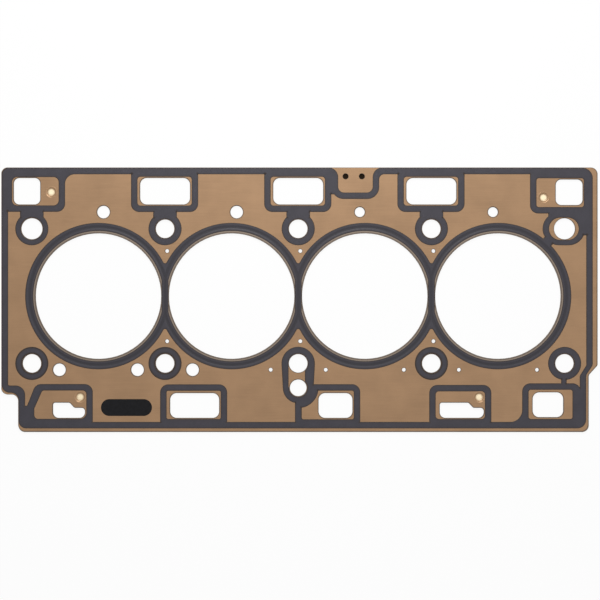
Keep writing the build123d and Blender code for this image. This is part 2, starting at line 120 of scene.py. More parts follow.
# Edges are steps of one arc if their lengths differ by less than this share and the turn is in this range
EVEN_STEPS = 0.03
ARC_TURN = (math.radians(0.5), math.radians(40))

# Places of the rows that shape the print's swelling edge, as shares of the crown's width
CROWN_ROWS = (0.1, 0.3, 0.62)

# A point of such a row, or the middle of a pair, is kept where it lies more than this share of the row's
# distance inside the outline
POINT_KEPT, PAIR_KEPT = 0.93, 0.7

# Steps along the outline and along a ridge, as shares of the point spacing
RIM_STEP, RIDGE_STEP = 0.08, 0.4

# Gaps from the crown's last row to the bead lines and to the field, from the beads to the field, and from
# the bead rings to a ridge, as shares of the point spacing
BEAD_GAP, FIELD_GAP, FIELD_BEAD_GAP, RIDGE_GAP = 0.12, 0.5, 0.4, 0.15

# How far a bead ring's points keep from the middle of a web's straight bead, as a share of the foot
WEB_GAP = 1.2

# Marking patch: thickness left at its edge, as a share, and its point spacing
PATCH_EDGE = 0.2
PATCH_SPACING = 0.6 * MM

# How blunt the crown of a bolt ring is: 1 is a half ellipse, less is flatter with steeper edges
RING_CROWN = 0.45

# Places of the clinch joints, in millimetres
CLINCHES = ((-166.9, 70.3), (165.8, 66.6), (-147.4, -68.2), (122.3, -68.3))

# Shares of the floor's radius between which its bright wear and painted highlight fade out
WEAR_AND_HIGHLIGHT_FADE = (0.62, 1.38)

# Share of the pit's radius against share of its depth, from the middle of the floor to the lip
PIT_SHAPE = (
    (0.0, 1.0), (0.555, 1.0), (0.575, 0.98), (0.705, 0.54), (0.78, 0.25),
    (0.84, 0.125), (0.90, 0.055), (0.95, 0.0), (1.0, 0.04),
)

# The floor: its height and gap, what lies near enough to be lit by it as by the sky, and its own white
FLOOR_Z = cad_box[0].z
FLOOR_GAP = 0.01 * MM
FLOOR_REACH = 0.8 * MM
FLOOR_GLOW = 0.92

# Width of the picture in pixels
PICTURE_WIDTH = 600


class SteelSettings(bpy.types.PropertyGroup):
    """Coated spring steel and carrier"""

    # Dark cut edge; the same colour paints the shadow of the step beside each edge and the shadow line round
    # each bore
    edge_and_shade_colour: bpy.props.FloatVectorProperty(
        name="Cut edge", default=(0.045, 0.028, 0.018), **SHADE,
        description="Colour of the thin sheets' sheared edges",
    )
    # A greyer band round each bore, inside the print's edge
    bore_band_colour: bpy.props.FloatVectorProperty(
        name="Bore rim", default=(0.24, 0.19, 0.15), **SHADE,
        description="Colour of the narrow pressed rim round each bore",
    )
    # The band is wider than the cut edge: the rest of it is painted shadow of the step
    edge_width: bpy.props.FloatProperty(
        name="Cut edge width", default=0.26 * MM, unit="LENGTH",
        description="Width of the dark rolled edge that shearing leaves",
    )
    colour: bpy.props.FloatVectorProperty(
        name="Coated steel", default=(0.347, 0.209, 0.113), **SHADE,
        description="Colour of the thin sheets' baked coating",
    )
    dark_colour: bpy.props.FloatVectorProperty(
        name="Coated steel, darker", default=(0.296, 0.178, 0.096), **SHADE,
        description="Colour of the coating where it lies thicker",
    )
    # Painted shade: near-black, so that the two small holes look dark
    hole_shade_colour: bpy.props.FloatVectorProperty(
        name="Inner face", default=(0.012, 0.008, 0.005), **SHADE,
        description="Colour of the lower sheet's inner face, which shows only through the two small holes",
    )
    carrier_dark_colour: bpy.props.FloatVectorProperty(
        name="Carrier, darker", default=(0.235, 0.180, 0.135), **SHADE,
        description="Colour of the middle sheet's darker clouds",
    )
    carrier_colour: bpy.props.FloatVectorProperty(
        name="Carrier", default=(0.300, 0.235, 0.180), **SHADE,
        description="Colour of the thick middle sheet where its ledge shows",
    )
    roughness: bpy.props.FloatProperty(
        name="Roughness", default=0.42, min=0.05, max=1.0,
        description="How dull the coating is",
    )


class PrintSettings(bpy.types.PropertyGroup):
    """Printed elastomer"""

    colour: bpy.props.FloatVectorProperty(
        name="Print", default=(0.043, 0.040, 0.050), **SHADE,
        description="Colour of the elastomer where it lies thickest",
    )
    # Warmer where the print thins, and darker there as painted shade
    edge_and_shade_colour: bpy.props.FloatVectorProperty(
        name="Print edge", default=(0.027, 0.019, 0.016), **SHADE,
        description="Colour of the elastomer where it runs out at its edge",
    )
    crown_width: bpy.props.FloatProperty(
        name="Crown width", default=1.3 * MM, unit="LENGTH",
        description="Width over which the print rises from its edge to its full thickness",
    )
    edge_thickness: bpy.props.FloatProperty(
        name="Edge thickness", default=0.012 * MM, unit="LENGTH",
        description="Thickness that the print keeps at its very edge",
    )
    ring_inner_radius: bpy.props.FloatProperty(
        name="Ring inner radius", default=6.6 * MM, unit="LENGTH",
        description="Inner radius of the free rings round bolt holes",
    )
    point_spacing: bpy.props.FloatProperty(
        name="Point spacing", default=1.25 * MM, unit="LENGTH",
        description="Distance between the points that carry the print's surface",
    )


class ClinchSettings(bpy.types.PropertyGroup):
    """Clinch joints"""

    depth: bpy.props.FloatProperty(
        name="Depth", default=1.1 * MM, unit="LENGTH",
        description="Depth of the pit's floor under its lip",
    )
    lip: bpy.props.FloatProperty(
        name="Lip", default=0.012 * MM, unit="LENGTH",
        description="How far the rolled mouth stands up from the sheet",
    )
    skin: bpy.props.FloatProperty(
        name="Skin", default=0.02 * MM, unit="LENGTH",
        description="Thickness of the pit's lining",
    )
    mouth_radius: bpy.props.FloatProperty(
        name="Mouth radius", default=3.9 * MM, unit="LENGTH",
        description="Radius of the rolled mouth where it runs out on the sheet",
    )
    floor_radius: bpy.props.FloatProperty(
        name="Floor radius", default=2.1 * MM, unit="LENGTH",
        description="Radius of the burnished floor of the pit",
    )
    # Rubbed steel, lightened into a painted highlight on the pit's floor
    burnished_and_highlight_colour: bpy.props.FloatVectorProperty(
        name="Burnished steel", default=(0.84, 0.72, 0.50), **SHADE,
        description="Colour of the pit's floor, where the punch has rubbed the coating off",
    )


class PatchSettings(bpy.types.PropertyGroup):
    """Marking patch"""

    soft_edge: bpy.props.FloatProperty(
        name="Soft edge", default=0.8 * MM, unit="LENGTH",
        description="Width over which the ink thins out",
    )
    colour: bpy.props.FloatVectorProperty(
        name="Patch", default=(0.006, 0.006, 0.007), **SHADE,
        description="Colour of the bare marking patch",
    )


class StageSettings(bpy.types.PropertyGroup):
    """Floor, light and camera"""

    pixel_size: bpy.props.FloatProperty(
        name="Pixel size", default=90.0 / 133.2 * MM, unit="LENGTH", precision=5,
        description="Width of one pixel of a 600 pixel picture at the gasket's face",
    )
    lens: bpy.props.FloatProperty(
        name="Lens", default=100.0, min=35.0, max=300.0,
        description="Focal length of the camera, in millimetres",
    )
    centre_x: bpy.props.FloatProperty(
        name="Centre X", default=1.2 * MM, unit="LENGTH",
        description="Where the middle of the picture lies along the gasket",
    )
    centre_y: bpy.props.FloatProperty(
        name="Centre Y", default=-2.64 * MM, unit="LENGTH",
        description="Where the middle of the picture lies across the gasket",
    )
    key_place: bpy.props.FloatVectorProperty(
        name="Key place", default=(0.0, 0.42, 0.52), subtype="TRANSLATION", size=3,
        description="Where the main light hangs",
    )
    key_size: bpy.props.FloatProperty(
        name="Key size", default=0.3, unit="LENGTH",
        description="Side of the main light",
    )
    key_power: bpy.props.FloatProperty(
        name="Key power", default=3.1, min=0.0, max=200.0,
        description="Power of the main light, in watts",
    )
    fill_place: bpy.props.FloatVectorProperty(
        name="Fill place", default=(0.5, -0.3, 0.9), subtype="TRANSLATION", size=3,
        description="Where the second light hangs",
    )
    fill_size: bpy.props.FloatProperty(
        name="Fill size", default=0.6, unit="LENGTH",
        description="Side of the second light",
    )
    fill_power: bpy.props.FloatProperty(
        name="Fill power", default=0.6, min=0.0, max=200.0,
        description="Power of the second light, in watts",
    )
    sky: bpy.props.FloatProperty(
        name="Sky", default=0.44, min=0.0, max=2.0,
        description="Strength of the even light from all round",
    )


# Nodes


def feed(tree, node, inputs):
    """Links or sets a node's inputs, from sockets or plain values."""
    for key, value in inputs.items():
        if isinstance(value, bpy.types.NodeSocket):
            tree.links.new(value, node.inputs[key])
        else:
            node.inputs[key].default_value = value


def add_node(tree, kind, inputs=None, family="ShaderNode", **settings):
    """A node with its settings and inputs."""
    node = tree.nodes.new(family + kind)
    for key, value in settings.items():
        setattr(node, key, value)
    feed(tree, node, inputs or {})
    return node


def calculate(tree, operation, first, second=0.0):
    """One sum on two sockets or numbers."""
    return add_node(tree, "Math", {0: first, 1: second}, operation=operation).outputs["Value"]


def length_of(tree, x, y):
    """The length of a flat vector, from its two sockets."""
    squares = calculate(tree, "ADD", calculate(tree, "MULTIPLY", x, x), calculate(tree, "MULTIPLY", y, y))
    return calculate(tree, "SQRT", squares)


def stretch(tree, value, low, high, to_low=0.0, to_high=1.0):
    """A factor stretched from one range to another."""
    inputs = {"Value": value, "From Min": low, "From Max": high, "To Min": to_low, "To Max": to_high}
    return add_node(tree, "MapRange", inputs).outputs["Result"]


# Materials


def new_material(name):
    """A new node material, its tree and its surface shader."""
    material = bpy.data.materials.new(name)
    material.use_nodes = True
    tree = material.node_tree
    return material, tree, tree.nodes["Principled BSDF"]


def object_point(tree, scale=(1.0, 1.0, 1.0)):
    """Object coordinates scaled along each axis, to run a pattern along the rolling direction."""
    place = add_node(tree, "TexCoord").outputs["Object"]
    return add_node(tree, "Mapping", {"Vector": place, "Scale": scale}).outputs["Vector"]


def object_axes(tree):
    """The X, Y and Z sockets of the object coordinates."""
    place = add_node(tree, "TexCoord").outputs["Object"]
    return add_node(tree, "SeparateXYZ", {0: place}).outputs


def noise(tree, vector, scale, detail, roughness):
    """The factor of a noise pattern on a vector."""
    inputs = {"Vector": vector, "Scale": scale, "Detail": detail, "Roughness": roughness}
    return add_node(tree, "TexNoise", inputs).outputs["Fac"]


def attribute(tree, name):
    """The factor of one of the piece's own attributes."""
    return add_node(tree, "Attribute", attribute_name=name).outputs["Fac"]


def mix_colours(tree, factor, first, second):
    """Two colours, or sockets, mixed by a factor."""
    inputs = {0: factor}
    for key, colour in ((6, first), (7, second)):
        inputs[key] = colour if isinstance(colour, bpy.types.NodeSocket) else (*colour, 1.0)
    return add_node(tree, "Mix", inputs, data_type="RGBA").outputs[2]


def times(colour, factor):
    """A colour made lighter or darker, up to full."""
    return [min(1.0, channel * factor) for channel in colour]


def bump(tree, shader, height, strength):
    """A shallow bump on the shader's normal."""
    inputs = {"Height": height, "Strength": strength, "Distance": 0.02 * MM}
    feed(tree, shader, {"Normal": add_node(tree, "Bump", inputs).outputs["Normal"]})


def coated_steel(name, colour, dark_colour, roughness):
    """Rolled sheet with a thin baked coating: cloudy tone, faint rolling streaks, fine satin grain."""
    material, tree, shader = new_material(name)
    plain = object_point(tree)
    along = object_point(tree, (14.0, 420.0, 14.0))
    clouds = stretch(tree, noise(tree, plain, scale=55.0, detail=3.0, roughness=0.55), 0.32, 0.68)
    streaks = noise(tree, along, scale=3.0, detail=3.0, roughness=0.6)
    grain = noise(tree, plain, scale=1900.0, detail=2.0, roughness=0.6)
    tone = mix_colours(tree, clouds, dark_colour, colour)
    light_streaks = stretch(tree, streaks, 0.42, 0.75, to_high=0.35)
    tone = mix_colours(tree, light_streaks, tone, times(colour, 1.12))
    tone = mix_colours(tree, stretch(tree, grain, 0.3, 0.7, to_high=0.22), tone, times(dark_colour, 0.8))
    dull = stretch(tree, streaks, 0.3, 0.7, roughness - 0.05, roughness + 0.06)
    feed(tree, shader, {"Base Color": tone, "Roughness": dull, "Metallic": 0.4, "Specular IOR Level": 0.35})
    bump(tree, shader, grain, 0.12)
    return material


def cut_steel(name, colour):
    """Dark sheared edge with short bright scores across it; the dark also stands in as painted shadow of the
    step beside the edge.
    """
    material, tree, shader = new_material(name)
    scores = noise(tree, object_point(tree), scale=1200.0, detail=2.0, roughness=0.6)
    tone = mix_colours(tree, stretch(tree, scores, 0.35, 0.8), colour, times(colour, 2.2))
    dull = stretch(tree, scores, 0.3, 0.7, 0.45, 0.6)
    feed(tree, shader, {"Base Color": tone, "Roughness": dull, "Metallic": 0.3})
    return material


def printed_elastomer(name, colour, edge_and_shade_colour):
    """Screen-printed rubber: matt slate, warmer where it thins out and darker there as painted shade, darker
    in the beads as painted shade, faintly pebbled.
    """
    material, tree, shader = new_material(name)
    plain = object_point(tree)
    pebbles = noise(tree, plain, scale=1500.0, detail=2.0, roughness=0.5)
    patches = stretch(tree, noise(tree, plain, scale=140.0, detail=2.0, roughness=0.5), 0.3, 0.7)
    body = mix_colours(tree, patches, times(colour, 0.92), times(colour, 1.08))
    # The print warms where it thins, and darkens there as painted shade
    tone = mix_colours(tree, stretch(tree, attribute(tree, "thickness"), 0.5, 1.0), edge_and_shade_colour, body)
    # Painted shade: darker down in the bead valleys
    tone = mix_colours(tree, attribute(tree, "valley"), tone, times(colour, 0.65))
    dull = stretch(tree, pebbles, 0.3, 0.7, 0.44, 0.54)
    feed(tree, shader, {"Base Color": tone, "Roughness": dull, "Specular IOR Level": 0.3})
    bump(tree, shader, pebbles, 0.15)
    return material


def burnished_pit(name, coating, burnished):
    """Pressed steel: the floor rubbed bright and painted with a highlight that fades from its middle, the
    walls still coated.
    """
    material, tree, shader = new_material(name)
    wear_and_highlight = attribute(tree, "wear_and_highlight")
    scuffs = noise(tree, object_point(tree), scale=900.0, detail=3.0, roughness=0.6)
    tone = mix_colours(tree, wear_and_highlight, coating, burnished)
    shine = stretch(tree, wear_and_highlight, 0.0, 1.0, 0.45, 0.7)
    dull = stretch(tree, scuffs, 0.3, 0.7, 0.36, 0.5)
    feed(tree, shader, {"Base Color": tone, "Metallic": shine, "Roughness": dull})
    bump(tree, shader, scuffs, 0.1)
    return material


def patch_ink(name, colour):
    """Opaque marking ink, slightly uneven, with nothing on it."""
    material, tree, shader = new_material(name)
    film = noise(tree, object_point(tree), scale=500.0, detail=3.0, roughness=0.55)
    tone = mix_colours(tree, stretch(tree, film, 0.3, 0.7), times(colour, 0.8), times(colour, 1.4))
    dull = stretch(tree, film, 0.3, 0.7, 0.42, 0.55)
    feed(tree, shader, {"Base Color": tone, "Roughness": dull, "Specular IOR Level": 0.12})
    bump(tree, shader, film, 0.08)
    return material


def painted_colour(material):
    """A finished material's tree and surface shader, and the socket that gives its colour."""
    tree = material.node_tree
    shader = tree.nodes["Principled BSDF"]
    return tree, shader, shader.inputs["Base Color"].links[0].from_socket


def coin_bore_rims(material, bore_band_colour, shadow_line_colour):
    """Paints round each bore a greyer band inside the print's edge, with a dark line in it that is painted
    shadow of the step at the sheet's edge.
    """
    tree, shader, tone = painted_colour(material)
    x, y, _ = object_axes(tree)
    # Just short of half a pitch past the last bore, where the pattern would start again
    reach = BORES[-1].x + 0.999 * BORE_PITCH / 2
    x = calculate(tree, "MINIMUM", calculate(tree, "ABSOLUTE", x), reach)
    x = calculate(tree, "SUBTRACT", calculate(tree, "MODULO", x, BORE_PITCH), BORE_PITCH / 2)
    radius = length_of(tree, x, y)
    band = stretch(tree, radius, RIM_OUTER_R, RIM_OUTER_R + RIM_FADE, 1.0, 0.0)
    off_line = calculate(tree, "ABSOLUTE", calculate(tree, "SUBTRACT", radius, RIM_SHADOW_LINE_R))
    tone = mix_colours(tree, band, tone, bore_band_colour)
    # The dark line is painted shadow of the step at the sheet's edge
    tone = mix_colours(tree, stretch(tree, off_line, *RIM_SHADOW_LINE_FADE, 1.0, 0.0), tone, shadow_line_colour)
    feed(tree, shader, {"Base Color": tone})


def darken_inside(material, hole_shade_colour):
    """Paints the faces that lie against the carrier near-black and fully metallic, as painted shade that
    darkens the two small holes.
    """
    tree, shader, outside = painted_colour(material)
    inside = stretch(tree, object_axes(tree)[2], *HOLE_SHADE_HEIGHTS)
    tone = mix_colours(tree, inside, outside, hole_shade_colour)
    plain_metallic = shader.inputs["Metallic"].default_value
    feed(tree, shader, {"Base Color": tone, "Metallic": stretch(tree, inside, 0.0, 1.0, plain_metallic, 1.0)})


def rub_buttons(material, worn_colour):
    """Rubs the coating off the ends of the clinch buttons, the lowest faces of the block side sheet."""
    tree, shader, coated = painted_colour(material)
    lowest = stretch(tree, object_axes(tree)[2], *BUTTON_WEAR)
    scuffs = noise(tree, object_point(tree), scale=700.0, detail=3.0, roughness=0.6)
    wear_and_highlight = calculate(tree, "MULTIPLY", lowest, stretch(tree, scuffs, 0.3, 0.5))
    feed(tree, shader, {"Base Color": mix_colours(tree, wear_and_highlight, coated, worn_colour)})


def assign(obj, material):
    """Gives the whole object one material."""
    obj.data.materials.clear()
    obj.data.materials.append(material)
    for polygon in obj.data.polygons:
        polygon.material_index = 0


# Meshes


def merged_copy(node):
    """The CAD node's triangles joined at their shared corners, in a new bmesh."""
    bm = bmesh.new()
    bm.from_mesh(node.data)
    bmesh.ops.remove_doubles(bm, verts=bm.verts, dist=0.002 * MM)
    bm.normal_update()
    return bm


def link_mesh(name, mesh):
    """A new object with the mesh, at the origin."""
    obj = bpy.data.objects.new(name, mesh)
    bpy.context.scene.collection.objects.link(obj)
    return obj


def outline_edges(bm, side):
    """The edges round the faces that look up, or down where side is -1.

    Each edge is a pair of flat points that has the faces on its left.
    """
    faces = [face for face in bm.faces if face.normal.z * side > LEVEL]
    outward = set(faces)
    found = []
    for face in faces:
        for loop in face.loops:
            if sum(other in outward for other in loop.edge.link_faces) == 1:
                pair = loop.vert.co.xy.copy(), loop.link_loop_next.vert.co.xy.copy()
                found.append(pair if side > 0 else pair[::-1])
    return found


def rounded(point):
    """A flat point as a key, to a hundredth of a micrometre."""
    return round(point.x, 8), round(point.y, 8)


def numbered(chains):
    """The points of the chains as keys, each once, and the pairs of their numbers that follow each other."""
    numbers, pairs = {}, []
    for chain in chains:
        own = [numbers.setdefault(rounded(point), len(numbers)) for point in chain]
        pairs += zip(own, own[1:])
    return list(numbers), pairs


def chopped(a, b, spacing):
    """Points along a line, about this far apart, with both its ends."""
    count = max(1, round((b - a).length / spacing))
    return [a.lerp(b, i / count) for i in range(count + 1)]


def arc_centre(p, q, r):
    """Centre of the circle through three flat points."""
    u, v = q - p, r - p
    uu, vv = u.length_squared, v.length_squared
    return p + Vector((v.y * uu - u.y * vv, u.x * vv - v.x * uu)) / (2 * u.cross(v))


def bends_evenly(p, q, r):
    """Whether three points are even steps along one arc."""
    before, after = q - p, r - q
    even = abs(before.length - after.length) < EVEN_STEPS * before.length
    return even and ARC_TURN[0] < before.angle(after) < ARC_TURN[1]


def outline_chains(edges, spacing):
    """Each edge as a chain of points, on the arc that it is a step of, or else straight."""
    before = {rounded(b): a for a, b in edges}
    after = {rounded(a): b for a, b in edges}
    chains = []
    for a, b in edges:
        steps = chopped(a, b, spacing)
        for bend in ((before[rounded(a)], a, b), (a, b, after[rounded(b)])):
            if bends_evenly(*bend):
                centre = arc_centre(*bend)
                radius = (a - centre).length
                steps = chopped(a, b, min(spacing, ARC_STEP + ARC_GROWTH * radius))
                steps[1:-1] = [centre + radius * (point - centre).normalized() for point in steps[1:-1]]
                break
        chains.append(steps)
    return chains


def nearest_bore(point):
    """The centre of the bore that a flat point belongs to."""
    return min(BORES, key=lambda centre: abs(point.x - centre.x))


def bead_depth(point):
    """How deep a bead's valley is at a flat point: 0 on the flat sheet, rounded at the feet and the crest."""
    off_line = abs((point - nearest_bore(point).xy).length - BEAD_R)
    if abs(point.y) < WEB_BEAD_REACH:
        off_line = min(off_line, *(abs(point.x - web) for web in WEBS))
    share = min(1.0, max(0.0, (BEAD_FOOT - off_line) / (BEAD_FOOT - BEAD_CREST)))
    return BEAD_DEPTH * share * share * (3 - 2 * share)


def bead_ring(bore, radius, spacing):
    """A ring of points round a bore, None where a web or ridge takes over, and the pairs of neighbours."""
    count = int(2 * math.pi * BEAD_R / spacing)
    points = []
    for i in range(count):
        angle = 2 * math.pi * (i + 0.5) / count
        point = bore.xy + radius * Vector((math.cos(angle), math.sin(angle)))
        to_web = min(abs(point.x - web) for web in WEBS)
        clear = WEB_GAP * BEAD_FOOT if abs(point.y) < WEB_BEAD_REACH else RIDGE_GAP * spacing
        points.append(point if nearest_bore(point) is bore and to_web > clear else None)
    return points, [(i, (i + 1) % count) for i in range(count)]


def bead_line(x, low_y, high_y, spacing):
    """A straight line of points along a web, and the pairs of neighbours."""
    points = chopped(Vector((x, low_y)), Vector((x, high_y)), spacing)
    return points, list(zip(range(len(points)), range(1, len(points))))


def bead_lines(spacing):
    """Lines of points along the beads: round the bores, straight through the webs, on the ridges beyond."""
    lines = [bead_ring(bore, BEAD_R + offset, spacing) for bore in BORES for offset in BEAD_ROWS]
    for web in WEBS:
        lines += [bead_line(web + offset, -WEB_BEAD_REACH, WEB_BEAD_REACH, spacing) for offset in BEAD_ROWS]
        for side in (-1, 1):
            near, far = (side * WEB_BEAD_REACH * share for share in RIDGE_SPAN)
            lines.append(bead_line(web, near, far, RIDGE_STEP * spacing))
    return lines


def field_points(edges, spacing):
    """Points in offset rows over the outline's box, clear of the beads."""
    xs = [point.x for pair in edges for point in pair]
    ys = [point.y for pair in edges for point in pair]
    low_x, low_y = min(xs), min(ys)
    row_step = spacing * math.sqrt(3) / 2
    beaded = BEAD_R + BEAD_FOOT + FIELD_BEAD_GAP * spacing
    points = []
    for row in range(int((max(ys) - low_y) / row_step) + 1):
        for column in range(int((max(xs) - low_x) / spacing) + 2):
            point = Vector((low_x + (column + 0.5 * (row % 2)) * spacing, low_y + row * row_step))
            if all((point - bore.xy).length > beaded for bore in BORES):
                points.append(point)
    return points


def crown_row(chains, offset):
    """A row of points a little way in from the outline, and the pairs of them that follow each other."""
    points, pairs, first, last = [], [], {}, {}
    for chain in chains:
        inward = Vector((chain[0].y - chain[-1].y, chain[-1].x - chain[0].x)).normalized()
        numbers = range(len(points), len(points) + len(chain) - 1)
        points += [start.lerp(end, 0.5) + offset * inward for start, end in zip(chain, chain[1:])]
        pairs += zip(numbers, numbers[1:])
        first[rounded(chain[0])] = numbers[0]
        last[rounded(chain[-1])] = numbers[-1]
    pairs += [(last[corner], first[corner]) for corner in first if corner in last]
    return points, pairs


def enclosed(triangles, walls, vote):
    """The triangles of the regions between walls that lie inside: those whose votes sum above zero."""
    sides = {}
    for number, triangle in enumerate(triangles):
        for pair in zip(triangle, triangle[1:] + triangle[:1]):
            if frozenset(pair) not in walls:
                sides.setdefault(frozenset(pair), []).append(number)
    beside = {number: [] for number in range(len(triangles))}
    for numbers in sides.values():
        for number in numbers:
            beside[number] += [other for other in numbers if other != number]
    kept, seen = [], set()
    for start in beside:
        region, waiting = [], [start]
        while waiting:
            number = waiting.pop()
            if number not in seen:
                seen.add(number)
                region.append(triangles[number])
                waiting += beside[number]
        if sum(vote(triangle) for triangle in region) > 0:
            kept += region
    return kept


def inset_from(chains, spacing):
    """A function that says how far inside the outline a flat point lies, negative outside."""
    rim = []
    for chain in chains:
        for a, b in zip(chain, chain[1:]):
            inward = Vector((a.y - b.y, b.x - a.x)).normalized()
            rim += [(point, inward) for point in chopped(a, b, spacing)]
    tree = KDTree(len(rim))
    for i, (point, _) in enumerate(rim):
        tree.insert(point.to_3d(), i)
    tree.balance()

    def inset(point):
        _, number, distance = tree.find(point.to_3d())
        nearest, inward = rim[number]
        return math.copysign(distance, (point - nearest).dot(inward))

    return inset


def flat_print(edges, crown_width, spacing):
    """The flat triangles inside an outline: all points, how far inside each lies, and the triangles' corners.

    The outline, the rows that shape the crown and the lines along the beads all stay as edges.
    """
    chains = outline_chains(edges, spacing)
    inset = inset_from(chains, RIM_STEP * spacing)
    keys, pairs = numbered(chains)
    flat = [Vector(key) for key in keys]
    rim_count, wall_count = len(flat), len(pairs)

    def add_row(row, row_pairs, low, middle_low):
        number = {}
        for i, point in enumerate(row):
            if point is not None and inset(point) > low:
                number[i] = len(flat)
                flat.append(point)
        for i, j in row_pairs:
            if i in number and j in number and inset(row[i].lerp(row[j], 0.5)) > middle_low:
                pairs.append((number[i], number[j]))

    for offset in (share * crown_width for share in CROWN_ROWS):
        add_row(*crown_row(chains, offset), POINT_KEPT * offset, PAIR_KEPT * offset)
    last_row = CROWN_ROWS[-1] * crown_width
    for line in bead_lines(spacing):
        add_row(*line, last_row + BEAD_GAP * spacing, last_row)
    flat += [point for point in field_points(edges, spacing) if inset(point) > last_row + FIELD_GAP * spacing]
    points, lines, triangles, origins, line_origins, _ = delaunay_2d_cdt(flat, pairs, [], 0, 1e-8)
    is_wall = [any(i < wall_count for i in given) for given in line_origins]
    walls = {frozenset(line) for line, wall in zip(lines, is_wall) if wall}
    kept = enclosed(triangles, walls, lambda t: inset(sum((points[i] for i in t), Vector((0, 0))) / 3))
    on_rim = [any(origin < rim_count for origin in given) for given in origins]
    insets = [0.0 if rim else inset(point) for point, rim in zip(points, on_rim)]
    return points, insets, kept


def crowned_print(name, node, side, thickness, crown_width, edge_thickness, spacing):
    """A print on one face: the node's own outline, with a surface that swells from thin edges.

    side is 1 for the face that looks up and -1 for the one that looks down. The surface follows the
    beads into their valleys. Attributes keep how thick the print and how deep the valley is at each point.
    """
    source = merged_copy(node)
    points, insets, triangles = flat_print(outline_edges(source, side), crown_width, spacing)
    source.free()
    face_z = (max if side > 0 else min)(corner[2] for corner in node.bound_box) - side * thickness

    made = bmesh.new()
    thickness_layer = made.verts.layers.float.new("thickness")
    valley_layer = made.verts.layers.float.new("valley")
    outer, inner = {}, {}
    for i in sorted({i for triangle in triangles for i in triangle}):
        share = math.sqrt(1 - (1 - min(1.0, insets[i] / crown_width)) ** 2)
        depth = bead_depth(points[i])
        base = face_z - side * depth
        rise = edge_thickness + (thickness - edge_thickness) * share
        outer[i] = made.verts.new((*points[i], base + side * rise))
        inner[i] = made.verts.new((*points[i], base))
        for vert in (outer[i], inner[i]):
            vert[thickness_layer] = share
            vert[valley_layer] = depth / BEAD_DEPTH
    for triangle in triangles:
        ring = triangle if side > 0 else triangle[::-1]
        made.faces.new([outer[i] for i in ring]).smooth = True
        made.faces.new([inner[i] for i in reversed(ring)])
    number = {vert: i for i, vert in outer.items()}
    open_edges = [edge for edge in made.edges if edge.is_boundary and edge.verts[0] in number]
    for loop in [edge.link_loops[0] for edge in open_edges]:
        a, b = number[loop.vert], number[loop.link_loop_next.vert]
        made.faces.new((outer[b], outer[a], inner[a], inner[b]))
    mesh = bpy.data.meshes.new(name)
    made.to_mesh(mesh)
    made.free()
    return link_mesh(name, mesh)


# Geometry nodes


def size_tree(name, inputs):
    """An empty geometry node tree with one named input for each size and a material."""
    tree = bpy.data.node_groups.new(name, "GeometryNodeTree")
    tree.interface.new_socket("Geometry", in_out="INPUT", socket_type="NodeSocketGeometry")
    kinds = {float: "NodeSocketFloat", int: "NodeSocketInt"}
    for label, value in inputs.items():
        kind = kinds.get(type(value), "NodeSocketMaterial")
        tree.interface.new_socket(label, in_out="INPUT", socket_type=kind)
    tree.interface.new_socket("Geometry", in_out="OUTPUT", socket_type="NodeSocketGeometry")
    return tree, tree.nodes.new("NodeGroupInput").outputs, tree.nodes.new("NodeGroupOutput").inputs


def step(tree, kind, geometry, inputs=None, **settings):
    """One kind of geometry node on a geometry, with its settings and other inputs. Gives its output."""
    node = add_node(tree, kind, inputs, "GeometryNode", **settings)
    if geometry is not None:
        tree.links.new(geometry, node.inputs[0])
    return node.outputs[0]


def point_of(tree):
    """The X and Y sockets of each point's own place."""
    axes = add_node(tree, "SeparateXYZ", {0: step(tree, "InputPosition", None)}).outputs
    return axes[0], axes[1]


def moved(tree, curve, x, y):
    """The flat curve with its points moved to new places."""
    place = add_node(tree, "CombineXYZ", {0: x, 1: y}).outputs[0]
    return step(tree, "SetPosition", curve, {"Position": place})


def stored(tree, geometry, name, value):
    """The geometry with a value kept at each point."""
    inputs = {"Name": name, "Value": value}
    return step(tree, "StoreNamedAttribute", geometry, inputs, data_type="FLOAT", domain="POINT")


def turned(tree, given, profile, radius, merge):
    """The flat profile turned round an upright circle of the given radius."""
    sizes = {"Resolution": given["Steps round"], "Radius": radius}
    circle = step(tree, "CurvePrimitiveCircle", None, sizes)
    mesh = step(tree, "CurveToMesh", circle, {"Profile Curve": profile})
    return step(tree, "MergeByDistance", mesh, {"Distance": merge})


def placed(tree, given, result, piece):
    """A copy of the piece at every input point, made real and given its material."""
    smooth = step(tree, "SetShadeSmooth", piece)
    copies = step(tree, "InstanceOnPoints", given["Geometry"], {"Instance": smooth})
    real = step(tree, "RealizeInstances", copies)
    painted = step(tree, "SetMaterial", real, {"Material": given["Material"]})
    tree.links.new(painted, result[0])


def grown(name, places, tree, inputs, lines=()):
    """Runs the tree on the places and lines and returns a plain mesh, closed and facing out."""
    points = bpy.data.meshes.new(name)
    points.from_pydata([tuple(place) for place in places], lines, [])
    seed = link_mesh(name + "_places", points)
    modifier = seed.modifiers.new("Grow", "NODES")
    modifier.node_group = tree
    for item in tree.interface.items_tree:
        if item.in_out == "INPUT" and item.name in inputs:
            modifier[item.identifier] = inputs[item.name]
    bpy.context.view_layer.update()
    depsgraph = bpy.context.evaluated_depsgraph_get()
    mesh = bpy.data.meshes.new_from_object(seed.evaluated_get(depsgraph), depsgraph=depsgraph)
    bpy.data.objects.remove(seed)
    if not mesh.polygons:
        raise RuntimeError(name + " came out empty")
    bm = bmesh.new()
    bm.from_mesh(mesh)
    bmesh.ops.remove_doubles(bm, verts=bm.verts, dist=1e-7)
    bmesh.ops.recalc_face_normals(bm, faces=bm.faces)
    for vert in bm.verts:
        vert.co = [min(max(c, low - PROUD), high + PROUD) for c, low, high in zip(vert.co, *cad_box)]
    bm.to_mesh(mesh)
    bm.free()
    return link_mesh(name, mesh)


